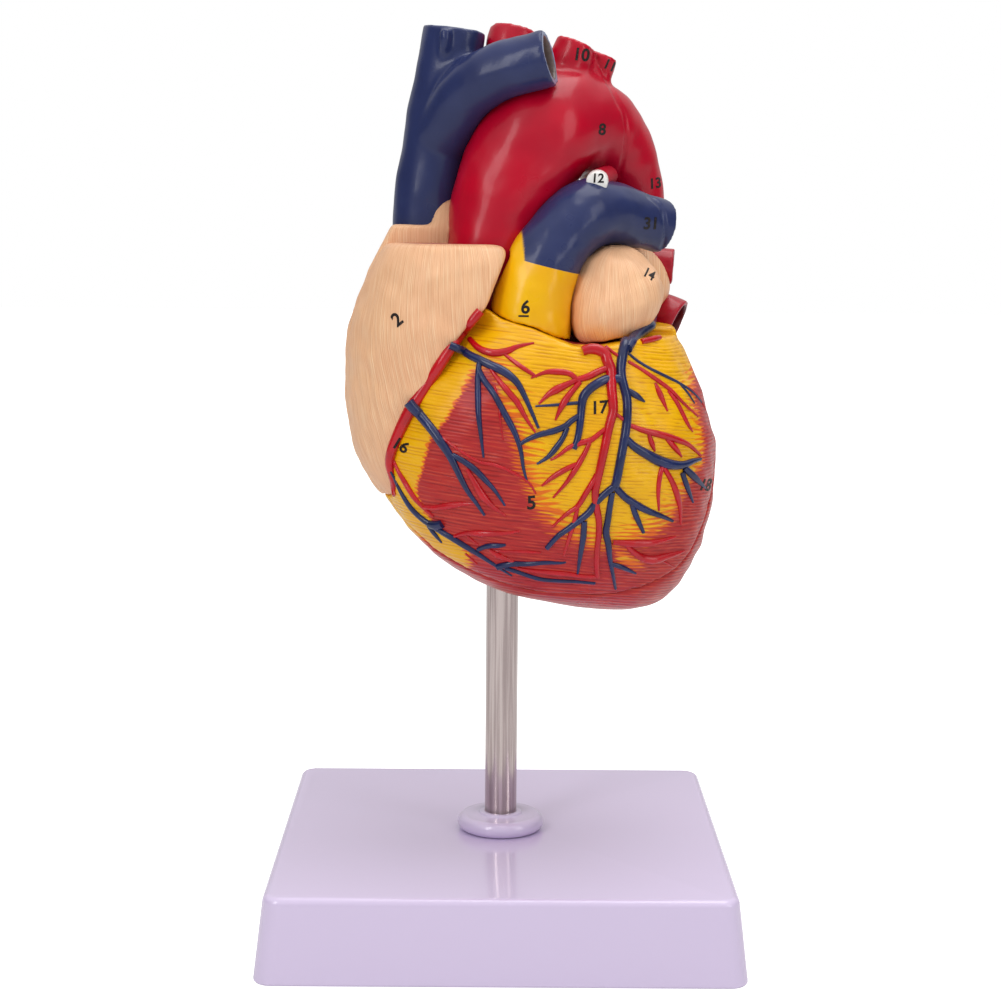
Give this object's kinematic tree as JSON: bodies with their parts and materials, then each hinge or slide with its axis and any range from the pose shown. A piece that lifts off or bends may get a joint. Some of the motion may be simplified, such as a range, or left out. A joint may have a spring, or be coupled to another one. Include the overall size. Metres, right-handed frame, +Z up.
{
  "type": "human heart anatomy model",
  "caption": "Life-size heart model on a stand: it turns on a steel rod and lifts off, and its front wall pulls away to show the chambers and valves.",
  "frame": {"origin": "under the middle of the base, on the surface that it stands on", "axes": "+Z up along the rod, +X to the viewer's right, -Y towards the front of the heart"},
  "size_m": [0.142, 0.142, 0.2743],
  "materials": {
    "base_lavender": "glossy moulded plastic",
    "rod_steel": "brushed",
    "hardware_steel": "plain",
    "peach_paint": "painted, semi-gloss, with fine engraved strokes",
    "muscle_paint": "painted, semi-gloss",
    "fat_yellow_paint": "painted, semi-gloss, brushed over with red",
    "artery_red_paint": "painted, glossy",
    "vein_blue_paint": "painted, glossy",
    "valve_cream": "smooth",
    "magnet": "plated"
  },
  "bodies": {
    "base": {"base_shell": "base_lavender", "rod_collar": "base_lavender"},
    "rod": {"rod_tube": "rod_steel", "rod_insert": "hardware_steel", "fixing_screw": "hardware_steel", "fixing_washer": "hardware_steel"},
    "heart": {"ventricle_rear_wall": "muscle_paint", "right_atrium_rear_wall": "peach_paint", "left_atrium": "peach_paint", "left_auricle": "peach_paint", "rod_socket_bush": "valve_cream", "rear_magnets": "magnet", "aorta": "artery_red_paint", "arch_branches": "artery_red_paint", "superior_vena_cava": "vein_blue_paint", "left_brachiocephalic_vein": "vein_blue_paint", "pulmonary_trunk": "fat_yellow_paint", "left_pulmonary_artery": "vein_blue_paint", "right_pulmonary_artery": "vein_blue_paint", "arterial_ligament": "valve_cream", "left_pulmonary_veins": "artery_red_paint", "right_pulmonary_veins": "artery_red_paint", "inferior_vena_cava": "vein_blue_paint", "tricuspid_ring": "valve_cream", "tricuspid_flaps": "valve_cream", "mitral_ring": "valve_cream", "mitral_flaps": "valve_cream", "aortic_valve_cusps": "valve_cream", "pulmonary_valve_cusps": "valve_cream", "right_papillary_muscles": "muscle_paint", "left_papillary_muscles": "muscle_paint", "chordae_right": "valve_cream", "chordae_left": "valve_cream", "rear_coronary_arteries": "artery_red_paint", "rear_cardiac_veins": "vein_blue_paint"},
    "front_cover": {"ventricle_front_wall": "fat_yellow_paint", "right_atrium_front_wall": "peach_paint", "front_magnets": "magnet", "locating_pins": "valve_cream", "front_coronary_arteries": "artery_red_paint", "front_cardiac_veins": "vein_blue_paint"}
  },
  "joints": [
    {"name": "rod_turn", "type": "hinge", "parent": "base", "child": "rod", "pos_m": [0, 0, 0.02], "axis": [0, 0, 1], "continuous": true},
    {"name": "heart_lift", "type": "slide", "parent": "rod", "child": "heart", "axis": [0, 0, 1], "range_m": [0, 0.045]},
    {"name": "front_cover_slide", "type": "slide", "parent": "heart", "child": "front_cover", "axis": [0, -1, 0], "range_m": [0, 0.08]}
  ]
}
